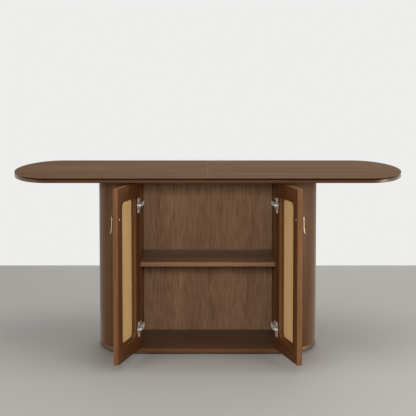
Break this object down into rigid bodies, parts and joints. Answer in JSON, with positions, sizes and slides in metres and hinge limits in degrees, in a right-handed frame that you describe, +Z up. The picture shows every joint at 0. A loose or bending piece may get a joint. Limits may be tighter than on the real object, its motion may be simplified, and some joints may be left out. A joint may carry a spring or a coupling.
{
  "type": "kitchen table with storage cabinet",
  "caption": "Oval-ended wooden table on an oval cabinet base with a shelf, closed at the front by hinged doors with woven cane panels, shown open",
  "frame": {"origin": "on the floor, under the middle of the cabinet base", "axes": "+X along the table's length to the right seen from the doors, -Y out of the doors, +Z up"},
  "size_m": [1.655, 0.9027, 0.76],
  "materials": {
    "walnut": "satin walnut veneer",
    "beech": "plain beech",
    "black_wood": "matt black stain",
    "cane": "natural woven cane",
    "nickel": "nickel plate",
    "steel": "zinc-plated steel",
    "champagne": "brushed champagne metal"
  },
  "bodies": {
    "table": {"top_left": "walnut", "top_right": "walnut", "top_dowels": "beech", "top_screws": "steel", "plinth": "black_wood", "base_board": "walnut", "cap_board": "walnut", "side_panel_left": "walnut", "side_panel_right": "walnut", "carcass_dowels": "beech", "end_shell_left": "walnut", "end_shell_right": "walnut", "end_formers_left": "walnut", "end_formers_right": "walnut", "back_panel": "walnut", "rear_rails": "walnut", "rear_panel": "walnut", "shelf": "walnut", "shelf_pins": "nickel", "hinge_plates_left": "nickel", "hinge_plates_right": "nickel", "hinge_arms_left": "nickel", "hinge_arms_right": "nickel", "plate_screws_left": "steel", "plate_screws_right": "steel"},
    "door_left": {"door_frame_left": "walnut", "cane_panel_left": "cane", "cane_bead_left": "walnut", "door_pull_left": "champagne", "pull_screw_left": "steel", "hinge_cups_left": "nickel", "cup_screws_left": "steel"},
    "links_left": {"hinge_links_left": "nickel"},
    "door_right": {"door_frame_right": "walnut", "cane_panel_right": "cane", "cane_bead_right": "walnut", "door_pull_right": "champagne", "pull_screw_right": "steel", "hinge_cups_right": "nickel", "cup_screws_right": "steel"},
    "links_right": {"hinge_links_right": "nickel"}
  },
  "joints": [
    {"name": "door_left_swing", "type": "hinge", "parent": "table", "child": "door_left", "pos_m": [-0.302, -0.225, 0.379], "axis": [0, 0, 1], "range_deg": [0, 104]},
    {"name": "links_left_turn", "type": "hinge", "parent": "table", "child": "links_left", "pos_m": [-0.274, -0.209, 0.373], "axis": [0, 0, 1], "range_deg": [0, 160]},
    {"name": "door_right_swing", "type": "hinge", "parent": "table", "child": "door_right", "pos_m": [0.302, -0.225, 0.379], "axis": [0, 0, -1], "range_deg": [0, 104]},
    {"name": "links_right_turn", "type": "hinge", "parent": "table", "child": "links_right", "pos_m": [0.274, -0.209, 0.373], "axis": [0, 0, -1], "range_deg": [0, 160]}
  ],
  "couplings": [
    {"joint": "links_left_turn", "follows": "door_left_swing", "ratio": 1.538},
    {"joint": "links_right_turn", "follows": "door_right_swing", "ratio": 1.538}
  ]
}
